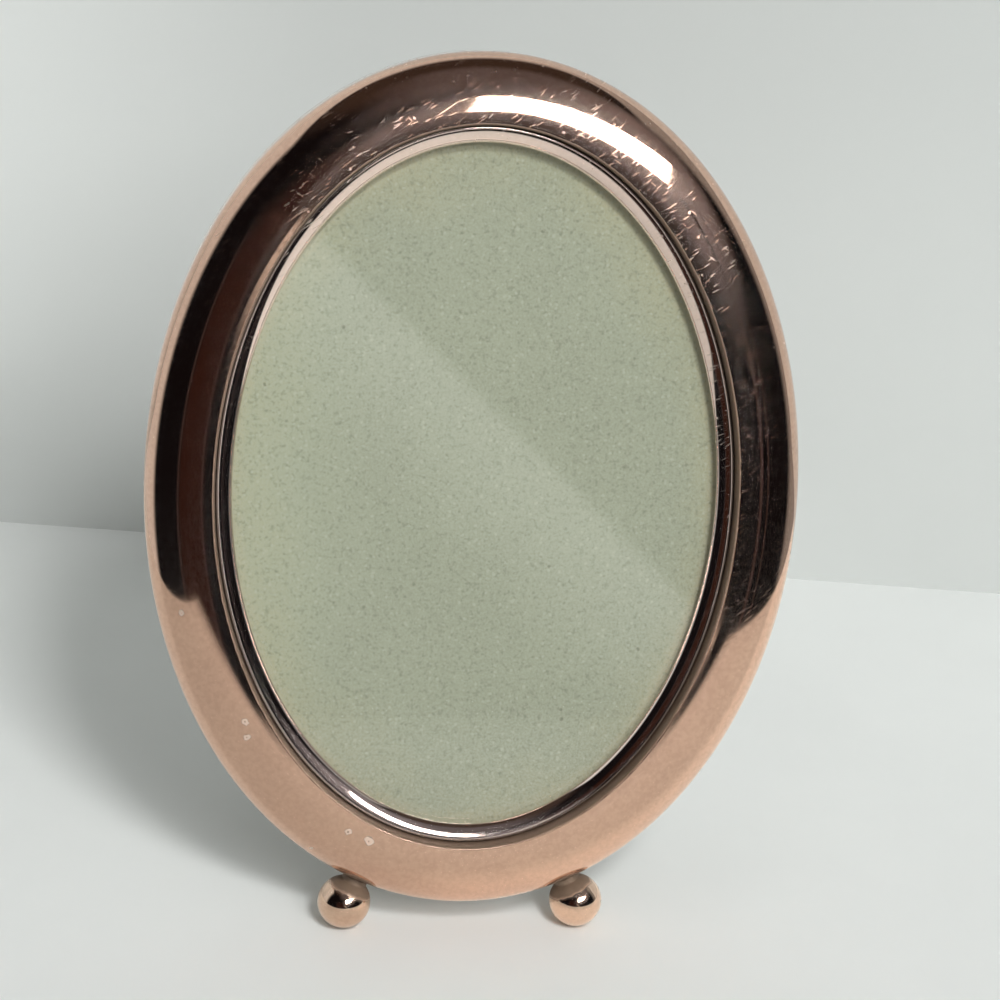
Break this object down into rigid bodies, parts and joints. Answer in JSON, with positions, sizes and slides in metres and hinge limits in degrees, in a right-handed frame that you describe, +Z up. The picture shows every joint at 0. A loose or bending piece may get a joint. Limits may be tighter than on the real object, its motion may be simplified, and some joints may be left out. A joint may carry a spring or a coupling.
{
  "type": "oval table picture frame",
  "caption": "Oval polished copper picture frame with a convex ring, glazed opening, ball feet and a folding easel strut at the back.",
  "frame": {"origin": "on the floor, in the middle of the box round the standing frame", "axes": "+Z up, +X to the viewer's right, +Y from the front to the back"},
  "size_m": [0.114, 0.0614, 0.1524],
  "materials": {
    "polished_copper": "polished, lacquered",
    "tinned_back": "dull tinned sheet",
    "clear_glass": "flat, polished",
    "mottled_card": "matt, flecked",
    "grey_board": "matt",
    "fibre_board": "matt fibre board",
    "flocked_paper": "short flock",
    "hinge_brass": "satin",
    "rivet_brass": "bright, domed",
    "plain_steel": "plain"
  },
  "bodies": {
    "frame_body": {"front_shell": "polished_copper", "sight_ring": "polished_copper", "foot_ball_left": "polished_copper", "foot_ball_right": "polished_copper", "rear_ring": "tinned_back", "glass_pane": "clear_glass", "insert_card": "mottled_card", "packing_card": "grey_board", "back_board": "fibre_board", "back_cover": "flocked_paper", "hinge_plate": "hinge_brass", "hinge_pin": "hinge_brass", "hinge_plate_rivets": "rivet_brass", "turn_button_rivets": "rivet_brass", "foot_studs": "plain_steel", "foot_washers": "plain_steel", "foot_nuts": "plain_steel"},
    "strut": {"hinge_leaf": "hinge_brass", "hinge_leaf_rivets": "rivet_brass", "strut_core": "fibre_board", "strut_cover": "flocked_paper"},
    "turn_button_upper_left": {"turn_button_upper_left": "hinge_brass"},
    "turn_button_upper_right": {"turn_button_upper_right": "hinge_brass"},
    "turn_button_lower_left": {"turn_button_lower_left": "hinge_brass"},
    "turn_button_lower_right": {"turn_button_lower_right": "hinge_brass"}
  },
  "joints": [
    {"name": "strut_fold", "type": "hinge", "parent": "frame_body", "child": "strut", "pos_m": [0, 0.00317, 0.10669], "axis": [1, 0, 0], "range_deg": [-26, 0]},
    {"name": "upper_left_swivel", "type": "hinge", "parent": "frame_body", "child": "turn_button_upper_left", "pos_m": [-0.03854, 0.00249, 0.11697], "axis": [0, -0.9781, 0.2079], "continuous": true},
    {"name": "upper_right_swivel", "type": "hinge", "parent": "frame_body", "child": "turn_button_upper_right", "pos_m": [0.03854, 0.00249, 0.11697], "axis": [0, -0.9781, 0.2079], "continuous": true},
    {"name": "lower_left_swivel", "type": "hinge", "parent": "frame_body", "child": "turn_button_lower_left", "pos_m": [-0.03854, -0.01411, 0.03888], "axis": [0, -0.9781, 0.2079], "continuous": true},
    {"name": "lower_right_swivel", "type": "hinge", "parent": "frame_body", "child": "turn_button_lower_right", "pos_m": [0.03854, -0.01411, 0.03888], "axis": [0, -0.9781, 0.2079], "continuous": true}
  ]
}
